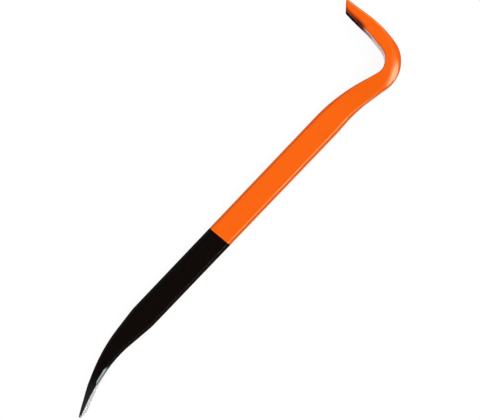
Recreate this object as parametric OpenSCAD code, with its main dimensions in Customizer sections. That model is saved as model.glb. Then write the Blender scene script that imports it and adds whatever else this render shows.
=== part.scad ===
// Forged wrecking bar, lying on its broad side: a flat shank, a gooseneck claw and a curved chisel.
// +X runs along the shank towards the hook, +Y towards the side that the claw points to, +Z up.
// A station is the distance along the centreline from the chisel's edge, in millimetres.

/* [Shank] */
// Length of the straight shank between the two forged ends
shank_len = 372; // [260:0.5:520]
// Depth of the bar across its broad side
shank_d = 32.4; // [28:0.1:42]
// Thickness of the bar through its broad side
shank_t = 16; // [12:0.5:22]
// Chamfer along the shank's four corners
shank_c = 3.5; // [1.5:0.25:4.5]

/* [Neck and bend] */
// Radius of the neck, where the bar leans away before the hook
neck_r = 198; // [150:1:400]
// Turn of the neck in degrees
neck_turn = 14.6; // [5:0.1:25]
// Straight stretch between the neck and the bend
neck_len = 21; // [4:0.5:40]
// Depth of the bar halfway round the neck
neck_d = 28.1; // [24:0.1:32]
// Radius of the bend along the centreline
bend_r = 28.7; // [22:0.1:45]
// Turn of the bend in degrees
bend_turn = 94.3; // [70:0.1:110]
// Depth of the bar where the bend starts
bend_start_d = 21.8; // [19:0.1:26]
// Depth of the bar where the bend ends
bend_end_d = 17.1; // [13:0.1:19]
// How far the bend's outer corners slope in from its outer face
corner_in = 8.5; // [3:0.5:10]
// How far those corners drop below the broad side
corner_drop = 4; // [2:0.25:6]
// Distance from the bend's middle at which those corners are chamfers again
corner_reach = 48; // [30:1:60]
// Distance before the neck from which the bar gets thinner
neck_lead = 13; // [5:1:30]

/* [Claw] */
// Radius of the claw's gentle curve
claw_r = 178; // [100:1:400]
// Turn of the claw's gentle curve in degrees
claw_turn = 13.3; // [4:0.1:24]
// Straight stretch at the claw's end
claw_len = 29.5; // [16:0.5:45]
// Width of the claw over both tines
claw_w = 41; // [30:0.5:50]
// Length over which the bar widens from its shank to its claw
claw_flare = 80; // [60:5:140]
// Distance past the bend's start at which the bar reaches the claw's width
claw_full_at = 22; // [0:1:30]
// Depth of the claw where the nail slot starts
slot_root_d = 16; // [11:0.1:18]
// Depth of the claw at its end
claw_end_d = 10.2; // [8:0.1:13]
// Chamfer along the claw's corners
claw_c = 1.3; // [0.5:0.1:2.5]
// Angle of the claw's end from square, in degrees
claw_cut = 40; // [0:1:45]
// Distance from the claw's end over which that slant sets in
cut_reach = 16; // [12:1:24]
// Rounding of the outer corners of the claw's and the chisel's ends
end_round = 3.2; // [0.5:0.1:3.8]

/* [Nail slot] */
// Length of the nail slot from the claw's end
slot_len = 47; // [30:1:55]
// Width of the nail slot at its round root
slot_root_w = 5; // [3:0.25:8]
// Width of the nail slot at the claw's end
slot_mouth_w = 15; // [10:0.5:20]
// Width of the bevel along the slot on the hollow side
bevel_w = 2.8; // [1:0.1:4]
// Depth of that bevel
bevel_d = 4; // [2:0.1:6]

/* [Chisel] */
// Radius of the chisel's curve
blade_r = 204; // [150:1:400]
// Turn of the chisel's curve in degrees
blade_turn = 23.8; // [12:0.1:40]
// Straight stretch at the chisel's edge
blade_len = 32; // [8:0.5:40]
// Width of the chisel across its edge
blade_w = 32; // [24:0.5:44]
// Distance from the edge to where the chisel starts to narrow towards the shank
blade_wide = 12; // [6:2:40]
// Length over which it narrows
blade_flare = 56; // [30:2:100]
// Distance from the edge to where the chisel reaches the shank's full depth
taper_len = 153; // [150:1:200]
// Distance from the edge to the shoulder of the taper
shoulder_at = 136; // [115:1:149]
// Depth at that shoulder
shoulder_d = 29.7; // [24:0.1:32]
// Distance from the edge to the middle of the taper
mid_at = 92; // [76:1:108]
// Depth at the middle of the taper
mid_d = 20.4; // [16:0.1:24]
// Depth of the chisel where its ground face starts
heel_d = 11.1; // [9.5:0.1:16]
// Depth of the chisel halfway along its ground face
toe_d = 6.3; // [5:0.1:8]
// Depth of the chisel at its edge, before it is ground
blade_end_d = 2.9; // [2.7:0.1:5]
// Chamfer along the chisel's corners, where its ground face starts
blade_c = 1.5; // [0.5:0.1:3]
// Chamfer along the chisel's corners beside its ground face
edge_c = 0.4; // [0.1:0.1:0.6]

/* [Ground face] */
// Length of the ground face on the chisel's hollow side
ground_len = 47; // [25:1:70]
// Depth ground away where the face starts
ground_heel_d = 0.2; // [0.1:0.1:2.5]
// Thickness left at the edge
edge_t = 2.4; // [0.6:0.1:2.6]
// Stretch over which the grinding runs in
ground_run = 3; // [3:0.5:12]

/* [Coats] */
// Thickness of both baked coats
coat_t = 0.15; // [0.08:0.01:0.4]
// Distance from the chisel's edge to where black meets orange
black_len = 290.5; // [200:0.5:360]
// Lean of that colour line from square, in degrees
black_lean = 4.4; // [0:0.1:10]
// Bare steel left at the chisel's edge
bare_len = 4; // [1:0.5:12]

/* [Hidden] */

// Spacing of the rings of the sweep, on the straight and gently curved stretches and round the bend
ring_step = 3;
bend_step = 2;
// Cutters reach this far past what they cut
past = 12;
// The least that a corner or a step keeps
sliver = 0.02;

arc = function (r, turn) r * turn * PI / 180;

// Centreline: each piece has a length and a turn, from the chisel's edge to the claw's end
PIECES = [
    [blade_len, 0],
    [arc(blade_r, blade_turn), -blade_turn],
    [shank_len, 0],
    [arc(neck_r, neck_turn), -neck_turn],
    [neck_len, 0],
    [arc(bend_r, bend_turn), bend_turn],
    [arc(claw_r, claw_turn), claw_turn],
    [claw_len, 0]
];

function sum_to(i) = i == 0 ? 0 : sum_to(i - 1) + PIECES[i - 1][0];
END = sum_to(len(PIECES));
NECK_AT = sum_to(3);
BEND_AT = sum_to(5);
BEND_END = sum_to(6);
SLOT_AT = END - slot_len;

// A place is [x, y, heading]. The path's next place after a length and a turn, along a line or an arc
function step_on(p, length, turn) =
    turn == 0
        ? [p.x + length * cos(p.z), p.y + length * sin(p.z), p.z]
        : let (r = length * 180 / (PI * turn))
          [p.x + r * (sin(p.z + turn) - sin(p.z)), p.y - r * (cos(p.z + turn) - cos(p.z)), p.z + turn];
function start_of(i) =
    i == 0 ? [0, 0, blade_turn] : step_on(start_of(i - 1), PIECES[i - 1][0], PIECES[i - 1][1]);
STARTS = [for (i = [0:len(PIECES) - 1]) start_of(i)];
SUMS = [for (i = [0:len(PIECES) - 1]) sum_to(i)];
function piece_at(s, i = 0) = i == len(PIECES) - 1 || s < SUMS[i + 1] ? i : piece_at(s, i + 1);
function place(s) =
    let (i = piece_at(s), t = s - SUMS[i])
    step_on(STARTS[i], t, PIECES[i][1] * t / PIECES[i][0]);
function along(p) = [cos(p.z), sin(p.z)];
function across(p) = [-sin(p.z), cos(p.z)];

// Smooth curve through knots [station, value] that never overshoots them
function secant(k, i) = (k[i + 1][1] - k[i][1]) / (k[i + 1][0] - k[i][0]);
function slope(k, i) =
    i == 0 ? secant(k, 0)
    : i == len(k) - 1 ? secant(k, i - 1)
    : let (a = secant(k, i - 1), b = secant(k, i)) a * b <= 0 ? 0 : 2 * a * b / (a + b);
function knot_before(k, s, i = 0) = i == len(k) - 2 || s < k[i + 1][0] ? i : knot_before(k, s, i + 1);
function curve(k, s) =
    s <= k[0][0] ? k[0][1]
    : s >= k[len(k) - 1][0] ? k[len(k) - 1][1]
    : let (i = knot_before(k, s), w = k[i + 1][0] - k[i][0], t = (s - k[i][0]) / w)
      (2 * t ^ 3 - 3 * t ^ 2 + 1) * k[i][1] + (t ^ 3 - 2 * t ^ 2 + t) * w * slope(k, i)
      + (3 * t ^ 2 - 2 * t ^ 3) * k[i + 1][1] + (t ^ 3 - t ^ 2) * w * slope(k, i + 1);
function ease(t) = let (u = max(0, min(1, t))) u * u * (3 - 2 * u);

DEPTH = [
    [0, blade_end_d],
    [ground_len / 2, toe_d],
    [ground_len, heel_d],
    [mid_at, mid_d],
    [shoulder_at, shoulder_d],
    [taper_len, shank_d],
    [NECK_AT - neck_lead, shank_d],
    [(NECK_AT + BEND_AT - neck_len) / 2, neck_d],
    [BEND_AT, bend_start_d],
    [BEND_END, bend_end_d],
    [SLOT_AT, slot_root_d],
    [END, claw_end_d]
];
WIDTH = [
    [0, blade_w],
    [blade_wide, blade_w],
    [blade_wide + blade_flare, shank_t],
    [BEND_AT + claw_full_at - claw_flare, shank_t],
    [BEND_AT + claw_full_at, claw_w],
    [END, claw_w]
];
CHAMFER = [
    [0, edge_c],
    [ground_len - ground_run, edge_c],
    [ground_len, blade_c],
    [shoulder_at, shank_c],
    [NECK_AT, shank_c],
    [BEND_AT, claw_c],
    [END, claw_c]
];

// How far a rounded end draws in, at a distance u from the end
function draw_in(u) = let (v = max(0, end_round - u)) end_round - sqrt(end_round ^ 2 - v ^ 2);
// How far the bend's outer corners have turned from chamfers into slopes at a station
function sloped(s) = ease(1 - abs(s - (BEND_AT + BEND_END) / 2) / corner_reach);

// How deep the chisel's hollow side is ground away at a station
function ground(s) =
    let (t = s / ground_len, at_edge = blade_end_d - edge_t)
    ease((ground_len - s) / ground_run) * (ground_heel_d * t + at_edge * (1 - t));

// Cross-section at a station, grown by e on every side and ground by g on the chisel's hollow side,
// as [towards the claw's hollow side, up] pairs
function section(s, e, g) =
    let (
        h = curve(DEPTH, s) / 2,
        b = curve(WIDTH, s) / 2 - draw_in(s) - draw_in(END - s) + e,
        near = curve(CHAMFER, s) + e / 2,
        k = sloped(s),
        uncut = near + k * (corner_in - near),
        in = max(uncut - g, sliver),
        drop = (near + k * (corner_drop - near)) * in / uncut,
        top = h + e,
        low = g - (h - draw_in(END - s) + e)
    )
    [[top, b - near], [top, near - b], [top - near, -b], [low + in, -b],
     [low, drop - b], [low, b - drop], [low + in, b], [top - near, b]];

// Ring of points in space at a station: the section stands across the path, leaning by lean
function ring(s, e, lean, push = 0, g = 0) =
    let (p = place(s), t = along(p), n = across(p))
    [for (q = section(s, e, g)) [
        p.x + q.x * n.x + (push - q.x * lean) * t.x,
        p.y + q.x * n.y + (push - q.x * lean) * t.y,
        q.y
    ]];
function end_lean(s) = tan(claw_cut) * ease(1 - (END - s) / cut_reach);

// Stations from a to b, b left out
function spread(a, b, step) = let (n = ceil((b - a) / step)) [for (i = [0:n - 1]) a + (b - a) * i / n];
FINE = [0, end_round / 8, end_round / 3, end_round / 1.5];
BLADE_STATIONS = concat(
    FINE,
    spread(end_round, ground_len - ground_run, ring_step),
    spread(ground_len - ground_run, ground_len, ground_run / 3),
    spread(ground_len, shoulder_at, ring_step),
    spread(shoulder_at, taper_len, ring_step)
);
HOOK_STATIONS = concat(
    spread(min(NECK_AT - neck_lead, BEND_AT + claw_full_at - claw_flare), BEND_AT, ring_step),
    spread(BEND_AT, BEND_END, bend_step),
    spread(BEND_END, END - end_round, ring_step),
    [for (i = [len(FINE) - 1:-1:0]) END - FINE[i]]
);

// The outside of the hook and the chisel, each with its end of the shank. The coats start at a later station
function hook_rings(e) = [for (s = HOOK_STATIONS) ring(s, e, end_lean(s), s == END ? e : 0)];
function blade_rings(e, first) = concat(
    [ring(first, e, 0)],
    [for (s = BLADE_STATIONS) if (s > first) ring(s, e, 0)],
    [ring(taper_len, e, 0)]
);
function ground_rings() = concat(
    [for (s = BLADE_STATIONS) ring(s, 0, 0, 0, ground(s))],
    [ring(taper_len, 0, 0)]
);
// Where black meets orange
function line_ring(e) = ring(black_len, e, tan(black_lean));

// Corners of the coated bar's outline, so that the origin lies at the middle of its underside
OUTLINE = [for (r = concat(ground_rings(), blade_rings(coat_t, ground_len), hook_rings(coat_t))) each r];
LOW = [for (i = [0:2]) min([for (q = OUTLINE) q[i]])];
HIGH = [for (i = [0:2]) max([for (q = OUTLINE) q[i]])];
module placed() translate([-(LOW.x + HIGH.x) / 2, -(LOW.y + HIGH.y) / 2, -LOW.z]) children();

// Faces between ring i and the next one, of rings that start at point number from
function band(i, from, n) = [for (j = [0:n - 1]) let (
        a = from + i * n + j, b = from + i * n + (j + 1) % n
    ) each [[a, b, b + n], [a, b + n, a + n]]];
function turned(faces) = [for (f = faces) [for (i = [len(f) - 1:-1:0]) f[i]]];

// Solid bar through a list of rings
module bar(rings) {
    n = len(rings[0]);
    last = len(rings) - 1;
    polyhedron(
        [for (r = rings) each r],
        concat(
            [for (i = [0:last - 1]) each band(i, 0, n)],
            [[for (j = [n - 1:-1:0]) j]],
            [[for (j = [0:n - 1]) last * n + j]]
        ),
        convexity = 6
    );
}

// Thin shell between two lists of rings, open at both ends or closed over the last one
module shell(outer, inner, capped) {
    n = len(outer[0]);
    last = len(outer) - 1;
    m = len(outer) * n;
    polyhedron(
        [for (r = concat(outer, inner)) each r],
        concat(
            [for (i = [0:last - 1]) each band(i, 0, n)],
            turned([for (i = [0:last - 1]) each band(i, m, n)]),
            [for (j = [0:n - 1]) let (k = (j + 1) % n) each [[j, m + j, m + k], [j, m + k, k]]],
            capped
                ? [[for (j = [0:n - 1]) last * n + j], [for (j = [n - 1:-1:0]) m + last * n + j]]
                : [for (j = [0:n - 1]) let (k = (j + 1) % n, a = last * n)
                    each [[a + j, a + k, m + a + k], [a + j, m + a + k, m + a + j]]]
        ),
        convexity = 8
    );
}

// Outline of the nail slot seen from its hollow side: x out of the claw's end, y across the claw
module slot_outline(grow) {
    root = slot_root_w / 2;
    spread_rate = (slot_mouth_w / 2 - root) / (slot_len - root);
    polygon([
        [root - slot_len, root + grow],
        [past, root + grow + spread_rate * (slot_len - root + past)],
        [past, -root - grow - spread_rate * (slot_len - root + past)],
        [root - slot_len, -root - grow]
    ]);
    translate([root - slot_len, 0]) circle(r = root + grow, $fn = 48);
}

// The nail slot: a tapering slot right through the claw, and a bevel along it on the hollow side
module nail_slot() {
    p = place(END);
    face = claw_end_d / 2;
    slant = atan((slot_root_d - claw_end_d) / 2 / slot_len);
    translate([p.x, p.y, 0]) rotate([0, 0, p.z]) {
        rotate([-90, 0, 0]) translate([0, 0, -slot_root_d]) linear_extrude(2 * slot_root_d) slot_outline(0);
        translate([0, face, 0]) rotate([0, 0, -slant]) rotate([-90, 0, 0]) hull() {
            translate([0, 0, -bevel_d]) linear_extrude(0.01) slot_outline(0);
            translate([0, 0, bevel_d / 2]) linear_extrude(0.01) slot_outline(1.5 * bevel_w);
        }
    }
}

// What the grinding takes off the coat on the chisel's hollow side
module ground_face() {
    stations = concat([-past], [for (s = BLADE_STATIONS) if (s <= ground_len) s]);
    function off(s, d) = let (p = place(s), n = across(p)) [p.x, p.y] + n * d;
    linear_extrude(2 * blade_w, center = true)
        polygon(concat(
            [for (s = stations) off(s, ground(max(0, s)) - curve(DEPTH, s) / 2 - (s == ground_len ? sliver : 0))],
            [off(ground_len, -heel_d), off(-past, -heel_d)]
        ));
}

module steel_bar() color("#8c8f92") placed() difference() {
    bar(concat(ground_rings(), hook_rings(0)));
    nail_slot();
}

module orange_coat() color("#fa6808") placed() difference() {
    shell(concat([line_ring(coat_t)], hook_rings(coat_t)), concat([line_ring(0)], hook_rings(0)), true);
    nail_slot();
}

module black_coat() color("#14110e") placed() difference() {
    shell(
        concat(blade_rings(coat_t, bare_len), [line_ring(coat_t)]),
        concat(blade_rings(0, bare_len), [line_ring(0)]),
        false
    );
    ground_face();
}

steel_bar();
orange_coat();
black_coat();
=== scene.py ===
import math

import bmesh
import bpy
import numpy as np
from mathutils import Matrix


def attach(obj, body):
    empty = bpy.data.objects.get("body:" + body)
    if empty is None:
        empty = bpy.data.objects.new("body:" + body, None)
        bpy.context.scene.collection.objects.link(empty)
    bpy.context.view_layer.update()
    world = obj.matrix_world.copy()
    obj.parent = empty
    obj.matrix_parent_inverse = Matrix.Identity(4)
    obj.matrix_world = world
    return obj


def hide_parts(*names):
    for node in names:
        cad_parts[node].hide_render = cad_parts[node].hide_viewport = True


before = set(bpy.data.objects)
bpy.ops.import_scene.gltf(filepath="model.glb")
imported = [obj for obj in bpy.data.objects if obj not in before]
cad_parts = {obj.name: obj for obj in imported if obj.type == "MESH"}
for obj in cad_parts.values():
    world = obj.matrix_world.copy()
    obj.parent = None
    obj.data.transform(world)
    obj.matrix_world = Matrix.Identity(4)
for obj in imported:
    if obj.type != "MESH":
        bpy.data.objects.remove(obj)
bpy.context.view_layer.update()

# Sizes in millimetres and turns in degrees, as the solids have them. The centreline is a row of lines and
# arcs, each with its length and turn. A station is the distance along it from the chisel's edge, and x and y
# are the distances across the bar, towards the claw's hollow side and up.
CENTRELINE = [
    (32.0, 0.0),  # the chisel's straight end
    (204.0 * math.radians(23.8), -23.8),  # the chisel's curve
    (372.0, 0.0),  # the shank
    (198.0 * math.radians(14.6), -14.6),  # the neck's curve
    (21.0, 0.0),  # the neck's straight end
    (28.7 * math.radians(94.3), 94.3),  # the bend
    (178.0 * math.radians(13.3), 13.3),  # the claw's curve
    (29.5, 0.0),  # the claw's straight end
]
FIRST_HEADING = 23.8
LENGTHS = np.array([length for length, turn in CENTRELINE])
TURNS = np.radians([turn for length, turn in CENTRELINE])
JOINS = np.concatenate([[0.0], np.cumsum(LENGTHS)])
END = JOINS[-1]
NECK_AT = JOINS[3]
BEND_AT = JOINS[5]
BEND_END = JOINS[6]
# The frame's origin on that path: the middle of the outline's underside
MIDDLE = (299.776, 56.9218, 20.65)

SHANK_DEPTH = 32.4
# The nail slot: its length, half its width at the root and at the mouth, and its bevel's width and depth
SLOT_LEN = 47.0
SLOT_ROOT = 2.5
SLOT_MOUTH = 7.5
BEVEL_W = 2.8
BEVEL_D = 4.0
SLOT_AT = END - SLOT_LEN
# The chisel's ground face: its length, how much is ground away at its heel and at its edge, and how far
# from the heel the grinding takes to run in
GROUND_LEN = 47.0
GROUND_HEEL = 0.2
GROUND_EDGE = 0.5
GROUND_RUN = 3.0
# Rounded corners of both ends, and the slant of the claw's end with the length over which it comes in
END_ROUND = 3.2
CLAW_CUT = math.radians(40.0)
CUT_REACH = 16.0
# The slope that the outer chamfer opens into at the bend: how far in and down it goes, and its half length
CORNER_IN = 8.5
CORNER_DROP = 4.0
CORNER_REACH = 48.0
# What grinding leaves of the outer chamfer at least
LEAST_CHAMFER = 0.02
# The coats' thickness, the edge that they leave bare, and the line where black meets orange
COAT = 0.15
BARE_LEN = 4.0
LINE_AT = 290.5
LINE_LEAN = math.radians(4.4)

# The bar's depth, width and chamfers, each as stations with a size
DEPTH = [
    (0, 2.9), (GROUND_LEN / 2, 6.3), (GROUND_LEN, 11.1), (92, 20.4), (136, 29.7), (153, SHANK_DEPTH),
    (NECK_AT - 13, SHANK_DEPTH), ((NECK_AT + BEND_AT - 21) / 2, 28.1), (BEND_AT, 21.8), (BEND_END, 17.1),
    (SLOT_AT, 16), (END, 10.2),
]
WIDTH = [
    (0, 32), (12, 32), (68, 16), (BEND_AT - 58, 16), (BEND_AT + 22, 41), (END, 41),
]
CHAMFER = [
    (0, 0.4), (GROUND_LEN - GROUND_RUN, 0.4), (GROUND_LEN, 1.5), (136, 3.5), (NECK_AT, 3.5),
    (BEND_AT, 1.3), (END, 1.3),
]
# A ridge between two faces of the forging is rounded over this distance to each side, and over the crisp one
# beside the ground face. Round the bend the two outer ridges widen up to the shoulder, which makes one soft
# shoulder of them, and so does the second ridge towards the claw
RIDGE = 0.55
SHOULDER = 4.2
CRISP = 0.2
# The third ridge's share of that widening where the chisel's corner carries a painted highlight, and the
# stations where that painted highlight starts to fade and ends
GLINT_SHARE = 0.25
GLINT_FADE = 67.0
GLINT_END = 75.0
# The painted highlight strip on the black coat starts this far in from the bar's outer side, fades in over a
# little more, and ends this short of the third ridge's end
GLINT_INSET = 0.3
GLINT_SOFT = 0.8
GLINT_SHORT = 0.1
# The coat is worn by this much at the chisel's edge, coming in from a station over a run
SCUFF = 0.08
SCUFF_AT = 58.0
SCUFF_RUN = 34.0
# The painted shade in the claw's mouth, which darkens the orange coat to dark red, comes in from a station
# over a run. It reaches to a depth under the hollow side, thinning out over a spread
MOUTH_SHADE_AT = SLOT_AT + 7.0
MOUTH_SHADE_RUN = 10.0
MOUTH_SHADE_DEPTH = 4.6
MOUTH_SHADE_SPREAD = 5.6
# How much painted highlight, a lighter colour standing for the light the ridges catch, shows on the four
# ridges, from the claw's hollow side to the outer one; most on the two outer ones, which face the light
RIDGE_HIGHLIGHT = (0.15, 0.15, 1.0, 1.0)
# Points round a ridge, and stretches across each half of the two narrow faces
RIDGE_POINTS = 9
FACE_STEPS = 5
# Rows of the mesh: the straight shank needs few, from the blade's last one to the hook's first one. The rows
# on the colour line and at the bare edge keep clear of others, and the slot's start ahead of its root
BLADE_ROWS_END = 160.0
HOOK_ROWS_AT = BEND_AT - 90
SHANK_STEP = 12.0
FINE_STEP = 2.0
BEND_STEP = 1.0
GROUND_RUN_STEP = 0.5
LINE_CLEAR = 6.0
BARE_CLEAR = 0.5
SLOT_ROWS_AT = SLOT_AT - 24
# The slot's outline is worked out past this station only, and its rows close in on it in this many steps
SLOT_NEAR = SLOT_AT - 12
CLOSING_STEPS = 40
# Metres in a millimetre
MM = 0.001
# Points closer than this, in metres, are joined
WELD = 0.0000005
# Faces that meet at more than this turn have a sharp edge between them
SHARP_TURN = math.radians(24)


def ease(t):
    """Rises smoothly from 0 at 0 to 1 at 1: three t squared less two t cubed."""
    u = np.clip(t, 0, 1)
    return u * u * (3 - 2 * u)


def through(knots, s):
    """Smooth curve through knots: between two of them a cubic whose slope at each knot is the harmonic mean
    of the straight slopes beside it, so that it never overshoots."""
    x, y = np.array(knots, float).T
    d = np.diff(y) / np.diff(x)
    a, b = d[:-1], d[1:]
    mean = np.where(a * b > 0, 2 * a * b / np.where(a * b > 0, a + b, 1), 0)
    m = np.concatenate([d[:1], mean, d[-1:]])
    s = np.clip(s, x[0], x[-1])
    i = np.clip(np.searchsorted(x, s, side="right") - 1, 0, len(x) - 2)
    w = x[i + 1] - x[i]
    t = (s - x[i]) / w
    return (
        (2 * t**3 - 3 * t**2 + 1) * y[i] + (t**3 - 2 * t**2 + t) * w * m[i]
        + (3 * t**2 - 2 * t**3) * y[i + 1] + (t**3 - t**2) * w * m[i + 1]
    )


def chord(length, heading, turn):
    """Straight step from one end of an arc to the other: the arc's length shortened by the sine of half its
    turn over that half turn, along the heading halfway round."""
    reach = length * np.sinc(turn / 2 / np.pi)
    return reach * np.cos(heading + turn / 2), reach * np.sin(heading + turn / 2)


HEADINGS = math.radians(FIRST_HEADING) + np.concatenate([[0.0], np.cumsum(TURNS)])[:-1]
STEPS = chord(LENGTHS, HEADINGS, TURNS)
STARTS = [np.concatenate([[0.0], np.cumsum(step)]) for step in STEPS]


def place(s):
    """Point and heading of the centreline at a station: lines and arcs joined end to end, each one starting
    where and how the last one ended."""
    i = np.clip(np.searchsorted(JOINS, s, side="right") - 1, 0, len(LENGTHS) - 1)
    t = s - JOINS[i]
    turn = TURNS[i] * t / LENGTHS[i]
    dx, dy = chord(t, HEADINGS[i], turn)
    return STARTS[0][i] + dx, STARTS[1][i] + dy, HEADINGS[i] + turn


def point(s, x, y, push=0.0):
    """Point at x across the centreline and y above its plane at a station, pushed on along the path.
    Towards the claw's end it also leans back along the path by x times the slant, which makes the end
    slant."""
    px, py, heading = place(s)
    cos, sin = np.cos(heading), np.sin(heading)
    on = push - x * math.tan(CLAW_CUT) * ease(1 - (END - s) / CUT_REACH)
    return px - x * sin + on * cos - MIDDLE[0], py + x * cos + on * sin - MIDDLE[1], y + MIDDLE[2] + 0 * s


def draw_in(u):
    """How far a rounded end draws in at a distance u from it: a quarter of a circle."""
    v = np.clip(END_ROUND - u, 0, END_ROUND)
    return END_ROUND - np.sqrt(END_ROUND**2 - v**2)


def ground(s):
    """How deep the chisel's hollow side is ground away: more towards the edge, running in at the heel."""
    t = s / GROUND_LEN
    return ease((GROUND_LEN - s) / GROUND_RUN) * (GROUND_HEEL * t + GROUND_EDGE * (1 - t))


def at_bend(s):
    """How near a station is to the middle of the bend: 1 there, and 0 beyond the corners' reach."""
    return ease(1 - np.abs(s - (BEND_AT + BEND_END) / 2) / CORNER_REACH)


def corners(s, coat, cut, low_coat):
    """Corners of the upper half of the cross-section, grown by a coat: the hollow side's face and chamfer,
    the broad side, and the other chamfer and face, which has a coat of its own and is ground back by a cut.
    Round the bend the outer chamfer opens into a slope. Returns both faces' places across the bar too."""
    half_depth = through(DEPTH, s) / 2
    half_width = through(WIDTH, s) / 2 - draw_in(s) - draw_in(END - s) + coat
    near = through(CHAMFER, s) + coat / 2
    uncut = near + at_bend(s) * (CORNER_IN - near)
    inset = np.maximum(uncut - cut, LEAST_CHAMFER)
    drop = (near + at_bend(s) * (CORNER_DROP - near)) * inset / uncut
    top = half_depth + coat
    low = cut - (half_depth - draw_in(END - s) + low_coat)
    ring = [
        (top, half_width - near), (top - near, half_width),
        (low + inset, half_width), (low, half_width - drop),
    ]
    return top, low, ring


def slot_edge(out, grow):
    """Half the width of the nail slot at a distance out of the claw's end, negative inside it: straight
    flanks that spread towards the end, from a round root. Grown by the bevel on the hollow side."""
    root = SLOT_ROOT + grow
    at = out + SLOT_LEN - SLOT_ROOT
    flank = root + (SLOT_MOUTH - SLOT_ROOT) / (SLOT_LEN - SLOT_ROOT) * at
    arc = np.sqrt(np.clip(root**2 - np.minimum(at, 0) ** 2, 0, None))
    return np.where(at < 0, arc, flank)


def out_of_end(s, x):
    """How far a point x across the centreline lies out of the claw's end, along the end's own heading."""
    ex, ey, heading = place(np.array(END))
    px, py, pz = point(s, x, 0.0)
    return (px + MIDDLE[0] - ex) * math.cos(heading) + (py + MIDDLE[1] - ey) * math.sin(heading)


def station_at(out, side):
    """Station at which a face of the claw lies that far out of its end, closing in on it step by step. The
    side is the face's place across the claw as a function of the station."""
    s = END + out
    for _ in range(CLOSING_STEPS):
        s = s + out - out_of_end(s, side(s))
    return s


def spread(a, b, step):
    """Even stations from a to b, b left out, no further apart than a step."""
    return np.linspace(a, b, max(1, math.ceil(abs(b - a) / step)) + 1)[:-1]


# How far from a rounded end its rows lie, and the turns round the slot's root at which its rows lie
ROUNDING = END_ROUND * (1 - np.sin(np.linspace(0, math.pi / 2, 9)))
ROOT_TURN = np.linspace(0, math.pi / 2, 13)


def bevel_grow(coat):
    """What the slot's outline is grown by on the hollow side: the bevel, drawn on to the coat's surface."""
    return BEVEL_W * (1 + coat / BEVEL_D)


def claw_sides(coat):
    """The three lines across the claw that the slot's edges follow, each as its place across the claw at a
    station and what the slot's outline is grown by there: the hollow side, the foot of the bevel and the
    outer side."""
    return (
        (lambda s: corners(s, coat, 0.0, coat)[0], bevel_grow(coat)),
        (lambda s: corners(s, 0.0, 0.0, 0.0)[0] - BEVEL_D, 0.0),
        (lambda s: corners(s, coat, 0.0, coat)[1], 0.0),
    )


# Rows ahead of the slot's root and along its straight flanks
ROOT_ROW = 12
FLANK_ROWS = 24


def claw_rows(coat):
    """Stations of the claw's rows on those three lines. They follow the slot's round root by equal turns,
    which is why they differ, and meet again at the end."""
    levels = []
    for side, grow in claw_sides(coat):
        out = SLOT_ROOT - SLOT_LEN - (SLOT_ROOT + grow) * np.cos(ROOT_TURN)
        arc = station_at(out, side)
        lead = np.linspace(SLOT_ROWS_AT, arc[0], ROOT_ROW + 1)[:-1]
        flank = np.linspace(arc[-1], END - END_ROUND, FLANK_ROWS + 1)[:-1]
        levels.append(np.concatenate([lead, arc[:-1], flank, END - ROUNDING]))
    return levels


# Stations of the rows of the hook and the blade
HOOK = np.concatenate([
    spread(HOOK_ROWS_AT, BEND_AT, FINE_STEP),
    spread(BEND_AT, BEND_END, BEND_STEP),
    spread(BEND_END, SLOT_ROWS_AT, FINE_STEP),
])
BLADE = np.concatenate([
    np.sort(ROUNDING)[:-1],
    spread(END_ROUND, GROUND_LEN - GROUND_RUN, FINE_STEP),
    spread(GROUND_LEN - GROUND_RUN, GROUND_LEN, GROUND_RUN_STEP),
    spread(GROUND_LEN, BLADE_ROWS_END, FINE_STEP),
])


def rounded(before, corner, after, t, reach=RIDGE):
    """Point on a rounded ridge: the parabola that leaves the face before it at t 0 and meets the face after
    it at t 1. It starts and ends at reach from the sharp corner, or less where a face is narrow."""
    ends = []
    for other in (before, after):
        dx, dy = other[0] - corner[0], other[1] - corner[1]
        size = np.maximum(np.hypot(dx, dy), 1e-6)
        cut = np.minimum(reach, 0.48 * size) / size
        ends.append((corner[0] + dx * cut, corner[1] + dy * cut))
    mix = ((1 - t) ** 2, 2 * t * (1 - t), t**2)
    return tuple(mix[0] * ends[0][i] + mix[1] * corner[i] + mix[2] * ends[1][i] for i in (0, 1))


def corner_glint(s):
    """How strong the painted highlight on the chisel's corners is at a station, standing for light glinting
    there: it starts at the ground face's heel and fades out towards the shank."""
    return ease((s - GROUND_LEN) / GROUND_RUN) * ease((GLINT_END - s) / (GLINT_END - GLINT_FADE))


def reach_of(ridge, s):
    """Reach of the rounding of one of the four ridges, counted from the hollow side to the outer one. The
    two outer ones are rounder at the bend and crisp beside the ground face, the third one is rounder where
    the chisel's corner carries its painted highlight, and the second one towards the claw."""
    at_claw = ease((s - BEND_END) / (SLOT_AT - BEND_END))
    crisp = (RIDGE - CRISP) * ease((GROUND_LEN - s) / GROUND_RUN)
    wider = (0.0 * s, at_claw, at_bend(s) + GLINT_SHARE * corner_glint(s), at_bend(s))[ridge]
    return RIDGE - crisp * (ridge > 1) + (SHOULDER - RIDGE) * wider


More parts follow.
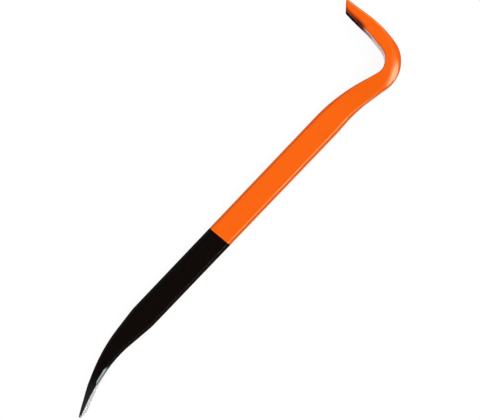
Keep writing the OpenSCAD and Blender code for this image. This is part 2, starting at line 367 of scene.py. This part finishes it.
def half_skin(s_top, s_low, coat, grinding=False, push=0.0):
    """Upper half of the bar's skin as a grid, from the middle of the hollow side, or the slot's edge there,
    over the ridges and the broad side to the middle of the outer side. Each row runs from its station on the
    hollow side to its station on the outer side, in step with the distance across. Returns the points, their
    places on the bar as if it were straight, and how much painted highlight each gets for lying on a ridge."""
    def shape(s):
        """The cross-section's corners. The ground face is cut back and has no coat."""
        cut = ground(s) if grinding else 0.0 * s
        low_coat = coat * np.clip(s - GROUND_LEN + 1, 0, 1) if grinding else coat + 0.0 * s
        return corners(s, coat, cut, low_coat)

    def slot_line(s, x, grow):
        """Where a narrow face starts: at the slot's edge, or in the middle where there is no slot."""
        return np.where(s > SLOT_NEAR, slot_edge(out_of_end(s, x), grow), 0.0)

    def ridge(j, t, s):
        """Place at t round one of the four ridges."""
        near_top, near_low, ring = shape(s)
        path = [(near_top, 0.0 * s), *ring, (near_low, 0.0 * s)]
        return rounded(path[j], path[j + 1], path[j + 2], t, reach_of(j, s))

    middle = (s_top + s_low) / 2
    top, low = shape(middle)[:2]
    columns = []
    x = shape(s_top)[0]
    start = slot_line(s_top, x, bevel_grow(coat))
    stop = ridge(0, 0.0, s_top)[1]
    for k in range(FACE_STEPS):
        columns.append((s_top, x, start + (stop - start) * k / FACE_STEPS, 0.0))
    for j in range(4):
        for t in np.linspace(0, 1, RIDGE_POINTS):
            x = ridge(j, t, middle)[0]
            s = s_low + (s_top - s_low) * np.clip((x - low) / (top - low), 0, 1)
            # Painted highlight on the ridges, strongest on the two outer ones, which face the light, and
            # weaker where a ridge is widely rounded
            highlight_share = 4 * t * (1 - t) * RIDGE_HIGHLIGHT[j] * (RIDGE / reach_of(j, s))**2
            columns.append((s, *ridge(j, t, s), highlight_share))
    x = shape(s_low)[1]
    start = ridge(3, 1.0, s_low)[1]
    stop = slot_line(s_low, x, 0.0)
    for k in range(1, FACE_STEPS + 1):
        columns.append((s_low, x, start + (stop - start) * k / FACE_STEPS, 0.0))
    s, x, y = (np.stack([0.0 * s_top + c[i] for c in columns], axis=1) for i in (0, 1, 2))
    edge = np.stack([0.0 * s_top + c[3] for c in columns], axis=1)
    return np.stack(point(s, x, y, np.reshape(push, (-1, 1))), axis=-1), np.stack([s, x, y], axis=-1), edge


def slot_wall(rows, coat, push=0.0):
    """Flank of the nail slot from the claw's outer side up to the foot of the bevel, and the bevel up to its
    hollow side, as a grid of points with their places on the straightened bar."""
    ends = []
    for s, (side, grow) in reversed(list(zip(rows, claw_sides(coat)))):
        ends.append((s, side(s), slot_edge(out_of_end(s, side(s)), grow)))
    s, x, y = (np.stack([end[i] for end in ends], axis=1) for i in (0, 1, 2))
    return np.stack(point(s, x, y, np.reshape(push, (-1, 1))), axis=-1), np.stack([s, x, y], axis=-1)


def mouth_shade(straight):
    """How much painted shade darkens the orange coat to dark red at a place on the straightened bar: most of
    it on the claw's hollow side from a little past the slot's root, and less over the chamfer to the broad
    side."""
    s, x, y = straight.T
    under = through(DEPTH, s) / 2 - x
    return ease((s - MOUTH_SHADE_AT) / MOUTH_SHADE_RUN) * np.clip((MOUTH_SHADE_DEPTH - under) / MOUTH_SHADE_SPREAD, 0, 1)


def glint_and_scuff(straight):
    """How much the black coat is marked at a place on the straightened bar: a painted highlight along the
    chisel's corners past its ground face, and a little real wear towards the edge."""
    s, x, y = straight.T
    inward = through(DEPTH, s) / 2 + x
    ridge_end = through(CHAMFER, s) + reach_of(2, s) - GLINT_SHORT
    strip = np.clip((inward - GLINT_INSET) / GLINT_SOFT, 0, 1) * np.clip(ridge_end - inward, 0, 1)
    return corner_glint(s) * strip + SCUFF * ease((SCUFF_AT - s) / SCUFF_RUN)


def unworn(straight):
    """Neither painted light nor wear."""
    return 0.0 * straight[:, 0]


class Patches:
    """Collects grids and caps of the upper half, mirrors them in the bar's middle plane and joins all."""

    def __init__(self):
        self.points, self.straight, self.edge, self.faces, self.finish = [], [], [], [], []
        self.count = 0

    def add(self, points, straight, edge, faces, finish):
        """Keeps points with what belongs to each, and faces that count from the first of them."""
        n = points.reshape(-1, 3).shape[0]
        self.points.append(points.reshape(-1, 3))
        self.straight.append(straight.reshape(-1, 3))
        self.edge.append(np.broadcast_to(np.asarray(edge, float).reshape(-1), (n,)))
        self.faces += [[self.count + v for v in f] for f in faces]
        self.finish += [finish] * len(faces)
        self.count += n

    def grid(self, points, straight, edge=0.0, finish=0, inward=False):
        """Four-sided faces between neighbouring rows and columns."""
        rows, cols = points.shape[:2]
        k = np.arange(rows * cols).reshape(rows, cols)
        quads = np.stack([k[:-1, :-1], k[:-1, 1:], k[1:, 1:], k[1:, :-1]], axis=-1).reshape(-1, 4)
        self.add(points, straight, edge, (quads[:, ::-1] if inward else quads).tolist(), finish)

    def cap(self, points, straight, finish=0, inward=False):
        """One face round a loop."""
        loop = list(range(len(points)))
        self.add(points, straight, 0.0, [loop[::-1] if inward else loop], finish)

    def strip(self, first, second, straight, edge=0.0):
        """Faces between two lines of the same number of points, which lie on a ridge by the same amounts."""
        edge = edge + 0.0 * straight[:, 0]
        pairs = ((first, second), (straight, straight), (edge, edge))
        self.grid(*(np.stack(pair, axis=1) for pair in pairs))

    def piece(self, name, materials, light_and_wear=unworn):
        """The joined and mirrored mesh as an object whose faces point outwards."""
        half = np.concatenate(self.points)
        mirrored = half * (1, 1, -1) + (0, 0, 2 * MIDDLE[2])
        points = np.concatenate([half, mirrored]) * MM
        faces = self.faces + [[v + self.count for v in f[::-1]] for f in self.faces]
        mesh = bpy.data.meshes.new(name)
        mesh.from_pydata(points.tolist(), [], faces)
        straight = np.concatenate(self.straight)
        carried = (
            ("unbent", "FLOAT_VECTOR", "vector", np.concatenate([straight, straight * (1, 1, -1)]) * MM),
            ("ridge", "FLOAT", "value", np.tile(np.concatenate(self.edge), 2)),
            ("light_and_wear", "FLOAT", "value", np.tile(light_and_wear(straight), 2)),
        )
        for label, kind, key, values in carried:
            attribute = mesh.attributes.new(label, kind, "POINT")
            attribute.data.foreach_set(key, values.reshape(-1).astype(np.float32))
        mesh.polygons.foreach_set("material_index", np.array(self.finish * 2, np.int32))
        joined = bmesh.new()
        joined.from_mesh(mesh)
        bmesh.ops.remove_doubles(joined, verts=joined.verts, dist=WELD)
        bmesh.ops.dissolve_degenerate(joined, edges=joined.edges, dist=WELD)
        bmesh.ops.recalc_face_normals(joined, faces=joined.faces)
        joined.to_mesh(mesh)
        joined.free()
        for material in materials:
            mesh.materials.append(material)
        mesh.polygons.foreach_set("use_smooth", np.ones(len(mesh.polygons), bool))
        mesh.set_sharp_from_angle(angle=SHARP_TURN)
        made = bpy.data.objects.new(name, mesh)
        bpy.context.scene.collection.objects.link(made)
        weighted = made.modifiers.new("faces lead the shading", "WEIGHTED_NORMAL")
        weighted.keep_sharp = True
        return made


def forging(materials):
    """The bare steel bar: its skin from edge to claw, the slot's flanks and the two kinds of end."""
    shape = Patches()
    claw = claw_rows(0.0)
    straight_rows = np.concatenate([BLADE, spread(BLADE_ROWS_END, HOOK_ROWS_AT, SHANK_STEP), HOOK])
    s_top = np.concatenate([straight_rows, claw[0]])
    s_low = np.concatenate([straight_rows, claw[2]])
    skin, flat, edge = half_skin(s_top, s_low, 0.0, grinding=True)
    shape.grid(skin, flat, edge)
    shape.cap(skin[0], flat[0], inward=True)
    wall, wall_flat = slot_wall([rows[ROOT_ROW:] for rows in claw], 0.0)
    shape.grid(wall, wall_flat, finish=1)
    shape.cap(np.concatenate([skin[-1], wall[-1, 1:-1]]), np.concatenate([flat[-1], wall_flat[-1, 1:-1]]))
    return shape.piece("steel_forging", materials)


def line_rows(coat):
    """Stations of the line between black and orange on both narrow faces: it leans from square."""
    reach = (SHANK_DEPTH / 2 + coat) * math.tan(LINE_LEAN)
    return np.array([LINE_AT - reach]), np.array([LINE_AT + reach])


def orange_skin(material):
    """The orange coat: an outer and an inner skin, joined along the colour line and round the slot."""
    shape = Patches()
    sides = []
    for coat in (COAT, 0.0):
        inside = coat == 0
        line_top, line_low = line_rows(coat)
        claw = claw_rows(coat)
        plain = np.concatenate([spread(LINE_AT + LINE_CLEAR, HOOK_ROWS_AT, SHANK_STEP), HOOK])
        s_top = np.concatenate([line_top, plain, claw[0]])
        s_low = np.concatenate([line_low, plain, claw[2]])
        push = np.where(s_top >= END, coat, 0.0)
        skin, flat, edge = half_skin(s_top, s_low, coat, push=push)
        root = len(s_top) - len(claw[0]) + ROOT_ROW
        wall, wall_flat = slot_wall([rows[ROOT_ROW:] for rows in claw], coat, push[root:])
        shape.grid(skin, flat, edge, inward=inside)
        end = np.concatenate([skin[-1], wall[-1, 1:-1]])
        end_flat = np.concatenate([flat[-1], wall_flat[-1, 1:-1]])
        shape.cap(end, end_flat, inward=inside)
        sides.append((skin, flat, edge, wall, wall_flat))
    (skin, flat, edge, wall, wall_flat), (inner, _, _, inner_wall, _) = sides
    shape.strip(inner[0], skin[0], flat[0], edge[0])
    shape.strip(skin[root:, 0], inner[root:, 0], flat[root:, 0])
    shape.strip(inner[root:, -1], skin[root:, -1], flat[root:, -1])
    shape.strip(wall[-1], inner_wall[-1], wall_flat[-1])
    return shape.piece("orange_enamel_skin", [material], mouth_shade)


def black_skin(material):
    """The black coat: an outer and an inner skin, joined along the colour line, the bare edge and the
    ground face, which has no coat."""
    shape = Patches()
    sides = []
    for coat in (COAT, 0.0):
        inside = coat == 0
        line_top, line_low = line_rows(coat)
        blade = BLADE[BLADE > BARE_LEN + BARE_CLEAR]
        plain = np.concatenate([[BARE_LEN], blade, spread(BLADE_ROWS_END, LINE_AT - LINE_CLEAR, SHANK_STEP)])
        s_top = np.concatenate([plain, line_top])
        s_low = np.concatenate([plain, line_low])
        skin, flat, edge = half_skin(s_top, s_low, coat, grinding=True)
        heel = int(np.argmin(np.abs(plain - GROUND_LEN)))
        brink = skin.shape[1] - FACE_STEPS - 1
        # All but the outer face, and that face from the ground stretch's heel on
        for part in (np.s_[:, :brink + 1], np.s_[heel:, brink:]):
            shape.grid(skin[part], flat[part], edge[part], inward=inside)
        sides.append((skin, flat, edge))
    (skin, flat, edge), (inner, _, _) = sides
    for line in (np.s_[0, :brink + 1], np.s_[:heel + 1, brink], np.s_[heel, brink:]):
        shape.strip(inner[line], skin[line], flat[line], edge[line])
    shape.strip(skin[-1], inner[-1], flat[-1], edge[-1])
    return shape.piece("black_enamel_skin", [material], glint_and_scuff)


def colour(code):
    """Linear colour of an sRGB hex value."""
    parts = [int(code[i:i + 2], 16) / 255 for i in (1, 3, 5)]
    return [p / 12.92 if p <= 0.04045 else ((p + 0.055) / 1.055) ** 2.4 for p in parts] + [1.0]


def add(tree, kind, settings=None, values=None, links=None):
    """Adds a node, sets its settings and its sockets' values, and links other nodes' outputs into it."""
    node = tree.nodes.new(kind)
    for key, value in (settings or {}).items():
        setattr(node, key, value)
    for key, value in (values or {}).items():
        node.inputs[key].default_value = value
    for key, source in (links or {}).items():
        tree.links.new(source, node.inputs[key])
    return node


def cells(size):
    """Scale of a pattern whose cells are so many millimetres across: how many of them go into a metre."""
    return 1000 / size


def new_material(name):
    """An empty material and its node tree."""
    material = bpy.data.materials.new(name)
    material.use_nodes = True
    material.node_tree.nodes.clear()
    return material, material.node_tree


def enamel(name, face, shade, ridge, half_marked, fully_marked, gloss, shine):
    """Baked enamel over a forging. Its face keeps a faint orange peel of about 1.5 mm and follows the
    hammered steel in shallow waves of about 30 mm. The ridges get a painted highlight, a lighter colour that
    stands for the light they catch. The coat turns dull and takes two other colours where the mesh marks
    painted light and wear: painted shade on the orange coat, and painted highlight and a little wear on the
    black one."""
    material, tree = new_material(name)
    where = add(tree, "ShaderNodeTexCoord")
    unbent = add(tree, "ShaderNodeAttribute", {"attribute_name": "unbent"})
    on_ridge = add(tree, "ShaderNodeAttribute", {"attribute_name": "ridge"})
    light_and_wear_map = add(tree, "ShaderNodeAttribute", {"attribute_name": "light_and_wear"})
    cloud = add(tree, "ShaderNodeTexNoise", values={"Scale": cells(26.3), "Detail": 3.0, "Roughness": 0.5},
                links={"Vector": where.outputs["Object"]})
    uneven = add(tree, "ShaderNodeMapRange", values={1: 0.35, 2: 0.65, 3: 0.75, 4: 1.3},
                 links={0: cloud.outputs["Fac"]})
    light_and_wear = add(tree, "ShaderNodeMath", {"operation": "MULTIPLY", "use_clamp": True},
               links={0: light_and_wear_map.outputs["Fac"], 1: uneven.outputs[0]})
    # Colour: two shades in clouds, then the painted highlight on the ridges, then the half and the fully
    # marked stretches of painted light and wear
    patches = add(tree, "ShaderNodeMix", {"data_type": "RGBA"}, {6: colour(face), 7: colour(shade)},
                  {0: cloud.outputs["Fac"]})
    # Painted highlight: the ridges are lightened towards the ridge colour
    ridge_highlight = add(tree, "ShaderNodeMath", {"operation": "MULTIPLY"}, {1: 0.95}, {0: on_ridge.outputs["Fac"]})
    lighter = add(tree, "ShaderNodeMix", {"data_type": "RGBA"}, {7: colour(ridge)},
                  {0: ridge_highlight.outputs[0], 6: patches.outputs[2]})
    to_half = add(tree, "ShaderNodeMapRange", values={1: 0.0, 2: 0.6}, links={0: light_and_wear.outputs[0]})
    halfway = add(tree, "ShaderNodeMix", {"data_type": "RGBA"}, {7: colour(half_marked)},
                  {0: to_half.outputs[0], 6: lighter.outputs[2]})
    to_full = add(tree, "ShaderNodeMapRange", values={1: 0.5, 2: 1.0}, links={0: light_and_wear.outputs[0]})
    finish = add(tree, "ShaderNodeMix", {"data_type": "RGBA"}, {7: colour(fully_marked)},
                 {0: to_full.outputs[0], 6: halfway.outputs[2]})
    # Relief, in metres: the peel is 0.012 mm high and the waves 0.12 mm
    peel = add(tree, "ShaderNodeTexNoise", values={"Scale": cells(1.54), "Detail": 2.0, "Roughness": 0.4},
               links={"Vector": where.outputs["Object"]})
    peel_bump = add(tree, "ShaderNodeBump", values={"Strength": 1.0, "Distance": 0.000012},
                    links={"Height": peel.outputs["Fac"]})
    waves = add(tree, "ShaderNodeTexNoise", values={"Scale": cells(29.4), "Detail": 1.0, "Roughness": 0.4},
                links={"Vector": unbent.outputs["Vector"]})
    bump = add(tree, "ShaderNodeBump", values={"Strength": 1.0, "Distance": 0.00012},
               links={"Height": waves.outputs["Fac"], "Normal": peel_bump.outputs["Normal"]})
    # Gloss: dull and without shine where painted light and wear mark the coat
    rough = add(tree, "ShaderNodeMapRange", values={3: gloss, 4: gloss + 0.08},
                links={0: cloud.outputs["Fac"]})
    dulled = add(tree, "ShaderNodeMath", {"operation": "MULTIPLY_ADD", "use_clamp": True}, {1: 0.5},
                 {0: light_and_wear.outputs[0], 2: rough.outputs[0]})
    shine_left = add(tree, "ShaderNodeMapRange", values={3: shine, 4: 0.05}, links={0: light_and_wear.outputs[0]})
    shader = add(tree, "ShaderNodeBsdfPrincipled", values={"IOR": 1.2},
                 links={"Base Color": finish.outputs[2], "Roughness": dulled.outputs[0],
                        "Specular IOR Level": shine_left.outputs[0], "Normal": bump.outputs["Normal"]})
    add(tree, "ShaderNodeOutputMaterial", links={"Surface": shader.outputs[0]})
    return material


def bare_steel(name, bright, dull, rough, across, along, depth):
    """Cut steel with fine tool marks: noise drawn out along the marks, in the straightened bar's own
    directions, with the marks' spacing and length in millimetres and their depth in metres. Clouds of about
    8 mm dull it unevenly."""
    material, tree = new_material(name)
    unbent = add(tree, "ShaderNodeAttribute", {"attribute_name": "unbent"})
    drawn = add(tree, "ShaderNodeMapping", values={"Scale": (cells(along), cells(along), cells(across))},
                links={"Vector": unbent.outputs["Vector"]})
    marks = add(tree, "ShaderNodeTexNoise", values={"Scale": 1.0, "Detail": 4.0, "Roughness": 0.6},
                links={"Vector": drawn.outputs[0]})
    bloom = add(tree, "ShaderNodeTexNoise", values={"Scale": cells(8.33), "Detail": 3.0},
                links={"Vector": unbent.outputs["Vector"]})
    both = add(tree, "ShaderNodeMath", {"operation": "MULTIPLY"},
               links={0: marks.outputs["Fac"], 1: bloom.outputs["Fac"]})
    tone = add(tree, "ShaderNodeMapRange", values={1: 0.1, 2: 0.45}, links={0: both.outputs[0]})
    base = add(tree, "ShaderNodeMix", {"data_type": "RGBA"}, {6: colour(dull), 7: colour(bright)},
               {0: tone.outputs[0]})
    bump = add(tree, "ShaderNodeBump", values={"Strength": 1.0, "Distance": depth},
               links={"Height": marks.outputs["Fac"]})
    roughness = add(tree, "ShaderNodeMapRange", values={3: rough + 0.08, 4: rough - 0.04},
                    links={0: marks.outputs["Fac"]})
    shader = add(tree, "ShaderNodeBsdfPrincipled", values={"Metallic": 1.0},
                 links={"Base Color": base.outputs[2], "Roughness": roughness.outputs[0],
                        "Normal": bump.outputs["Normal"]})
    add(tree, "ShaderNodeOutputMaterial", links={"Surface": shader.outputs[0]})
    return material


# Sprayed and baked orange enamel gives one clean, wet-looking orange, with a pale painted highlight on the
# ridges and dark red painted shade in the claw's mouth
orange_enamel = enamel(
    "orange_baked_enamel", face="#ff6900", shade="#fe6300", ridge="#fdb070",
    # The last two colours are the painted shade in the claw's mouth, dark red and then near black
    half_marked="#a82400", fully_marked="#4c1206", gloss=0.12, shine=0.5,
)
# Sprayed and baked black enamel gives a warm near-black with a faint shine, a faint painted highlight on the
# ridges, a pale bluish grey painted highlight along the chisel's corners and a little wear at its edge
black_enamel = enamel(
    "black_baked_enamel", face="#120d0a", shade="#100b08", ridge="#211e1b",
    # The last two colours are grey and pale bluish grey: the wear at the edge takes a little of the grey,
    # the painted highlight on the chisel's corners goes to the pale bluish grey
    half_marked="#5c6165", fully_marked="#aab5bb", gloss=0.10, shine=0.15,
)
# Steel ground on a belt is pale grey with streaks along the bar. Its marks are drawn 0.6 mm apart so that
# they show
ground_steel = bare_steel(
    "belt_ground_steel", bright="#a2a9b0", dull="#868d94", rough=0.22,
    across=0.625, along=11.1, depth=0.000008,
)
# Scale left on the forged slot's flanks is dark, brown and dull, mottled in flecks of about 0.8 mm
slot_steel = bare_steel(
    "slot_forging_scale", bright="#3a3230", dull="#1d1816", rough=0.62,
    across=3.33, along=0.833, depth=0.00002,
)

made = (
    (forging([ground_steel, slot_steel]), "steel_bar", "steel"),
    (orange_skin(orange_enamel), "orange_coat", "orange"),
    (black_skin(black_enamel), "black_coat", "black"),
)
for piece, node, slot in made:
    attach(piece, "root")
    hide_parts(node)


# The floor reaches this far to each side and lies this little under the bar, in metres
FLOOR_REACH = 6.0
FLOOR_DROP = 0.0001


def studio_floor():
    """A wide white sheet under the bar. What looks at it sees it near white, and the bar's shadow stays."""
    reach, z = FLOOR_REACH, -FLOOR_DROP
    mesh = bpy.data.meshes.new("floor")
    ring = [(-reach, -reach, z), (reach, -reach, z), (reach, reach, z), (-reach, reach, z)]
    mesh.from_pydata(ring, [], [(0, 1, 2, 3)])
    floor = bpy.data.objects.new("floor", mesh)
    bpy.context.scene.collection.objects.link(floor)
    # White paper glows evenly to whatever looks at it, and takes a faint shadow
    material, tree = new_material("white_paper_floor")
    path = add(tree, "ShaderNodeLightPath")
    seen = add(tree, "ShaderNodeMath", {"operation": "ADD"},
               links={0: path.outputs["Is Camera Ray"], 1: path.outputs["Is Glossy Ray"]})
    seen = add(tree, "ShaderNodeMath", {"operation": "ADD", "use_clamp": True},
               links={0: seen.outputs[0], 1: path.outputs["Is Transmission Ray"]})
    level = add(tree, "ShaderNodeMath", {"operation": "MULTIPLY"}, {1: 0.92}, {0: seen.outputs[0]})
    glow = add(tree, "ShaderNodeEmission", values={"Color": (1, 1, 1, 1)},
               links={"Strength": level.outputs[0]})
    paper = add(tree, "ShaderNodeBsdfDiffuse", values={"Color": (0.1, 0.1, 0.1, 1)})
    both = add(tree, "ShaderNodeAddShader", links={0: glow.outputs[0], 1: paper.outputs[0]})
    add(tree, "ShaderNodeOutputMaterial", links={"Surface": both.outputs[0]})
    mesh.materials.append(material)


studio_floor()


# Bearing and height from which the matt colours get most light
LIGHT_FROM = (-60.0, 80.0)
# Soft lights that only the gloss shows: bearing, height, angles from the centre at which they start to fade
# and end, and brightness
GLOWS = [
    (-74.0, 14.0, 5.0, 16.0, (44.0, 40.0, 34.0)),
    (-72.0, 38.0, 17.0, 26.0, (60.0, 52.0, 42.0)),
    (-72.0, 59.0, 6.0, 24.0, (26.0, 22.0, 18.0)),
]


def direction(azimuth, elevation):
    """Unit vector towards a bearing and height, both in degrees."""
    a, h = math.radians(azimuth), math.radians(elevation)
    return math.cos(h) * math.cos(a), math.cos(h) * math.sin(a), math.sin(h)


def studio_world():
    """A white backdrop for the eye. The gloss sees a sky that is white round the horizon and dark overhead,
    with the soft lights in it, and the matt colours are lit from high up."""
    world = bpy.data.worlds.new("studio")
    bpy.context.scene.world = world
    world.use_nodes = True
    world.cycles.sampling_method = "NONE"
    tree = world.node_tree
    tree.nodes.clear()
    where = add(tree, "ShaderNodeTexCoord")
    split = add(tree, "ShaderNodeSeparateXYZ", links={0: where.outputs["Generated"]})
    sky = add(tree, "ShaderNodeMapRange", {"interpolation_type": "SMOOTHSTEP"},
              {1: 0.06, 2: 0.3, 3: 1.0, 4: 0.03}, {0: split.outputs["Z"]})
    for azimuth, elevation, inner, outer, level in GLOWS:
        near = add(tree, "ShaderNodeVectorMath", {"operation": "DOT_PRODUCT"},
                   {1: direction(azimuth, elevation)}, {0: where.outputs["Generated"]})
        fade = [math.cos(math.radians(angle)) for angle in (outer, inner)]
        glow = add(tree, "ShaderNodeMapRange",
                   {"interpolation_type": "SMOOTHSTEP", "data_type": "FLOAT_VECTOR"},
                   {7: [fade[0]] * 3, 8: [fade[1]] * 3, 9: (0, 0, 0), 10: level},
                   {6: near.outputs["Value"]})
        sky = add(tree, "ShaderNodeVectorMath", {"operation": "ADD"},
                  links={0: sky.outputs[0], 1: glow.outputs["Vector"]})
    glossy = add(tree, "ShaderNodeBackground", links={"Color": sky.outputs[0]})
    facing = add(tree, "ShaderNodeVectorMath", {"operation": "DOT_PRODUCT"}, {1: direction(*LIGHT_FROM)},
                 {0: where.outputs["Generated"]})
    strength = add(tree, "ShaderNodeMapRange", {"interpolation_type": "SMOOTHSTEP"},
                   {1: 0.5, 2: 0.98, 3: 0.15, 4: 2.08}, {0: facing.outputs["Value"]})
    matt = add(tree, "ShaderNodeBackground", values={"Color": (1, 1, 1, 1)},
               links={"Strength": strength.outputs[0]})
    backdrop = add(tree, "ShaderNodeBackground", values={"Color": (1, 1, 1, 1)})
    path = add(tree, "ShaderNodeLightPath")
    clear = add(tree, "ShaderNodeMath", {"operation": "ADD"},
                links={0: path.outputs["Is Camera Ray"], 1: path.outputs["Is Transmission Ray"]})
    lit = add(tree, "ShaderNodeMixShader",
              links={0: path.outputs["Is Diffuse Ray"], 1: glossy.outputs[0], 2: matt.outputs[0]})
    full = add(tree, "ShaderNodeMixShader",
               links={0: clear.outputs[0], 1: lit.outputs[0], 2: backdrop.outputs[0]})
    add(tree, "ShaderNodeOutputWorld", links={"Surface": full.outputs[0]})


studio_world()


# The photograph in pixels: its width, its middle, the camera's focal length, and where two points fall: the
# foot of the line from the camera straight down to the floor, and the shank's middle
FRAME_WIDTH = 480.0
FRAME_MIDDLE = (240.0, 210.0)
FOCAL_LENGTH = 986.0
FOOT = (344.0, 156.0)
SHANK = (226.9, 229.0)
# The same point of the shank in millimetres, the camera's height above its plane, and the turn in radians of
# the bar's length in the picture
SHANK_POINT = (-2.574, -26.340, 20.65)
CAMERA_HEIGHT = 1197.2
CAMERA_TURN = 0.8044
SENSOR_WIDTH = 36.0


def photo_ray(pixel):
    """Ray of a pixel in the camera's own directions: right, down and away, one unit away."""
    across, down = (pixel[i] - FRAME_MIDDLE[i] for i in (0, 1))
    return np.array([across / FOCAL_LENGTH, down / FOCAL_LENGTH, 1.0])


def photo_camera():
    """Camera of the photograph, turned so that straight down and the shank's middle fall on their pixels."""
    down = photo_ray(FOOT) / np.linalg.norm(photo_ray(FOOT))
    up = -down
    east = np.array([math.cos(CAMERA_TURN), -math.sin(CAMERA_TURN), 0.0])
    east = east - up * (east @ up)
    east = east / np.linalg.norm(east)
    turn = np.stack([east, np.cross(up, east), up], axis=1)
    offset = photo_ray(SHANK) * ((down * CAMERA_HEIGHT) @ up) / (photo_ray(SHANK) @ up)
    camera = bpy.data.cameras.new("photo_camera")
    camera.sensor_fit = "HORIZONTAL"
    camera.sensor_width = SENSOR_WIDTH
    camera.lens = FOCAL_LENGTH / FRAME_WIDTH * SENSOR_WIDTH
    camera.clip_start, camera.clip_end = 0.01, 50.0
    matrix = np.eye(4)
    matrix[:3, :3] = np.stack([turn[0], -turn[1], -turn[2]], axis=1)
    matrix[:3, 3] = (np.array(SHANK_POINT) - turn.T @ offset) * MM
    taken_from = bpy.data.objects.new("photo_camera", camera)
    taken_from.matrix_world = Matrix(matrix.tolist())
    bpy.context.scene.collection.objects.link(taken_from)
    bpy.context.scene.camera = taken_from


photo_camera()
bpy.context.scene.view_settings.view_transform = "Standard"
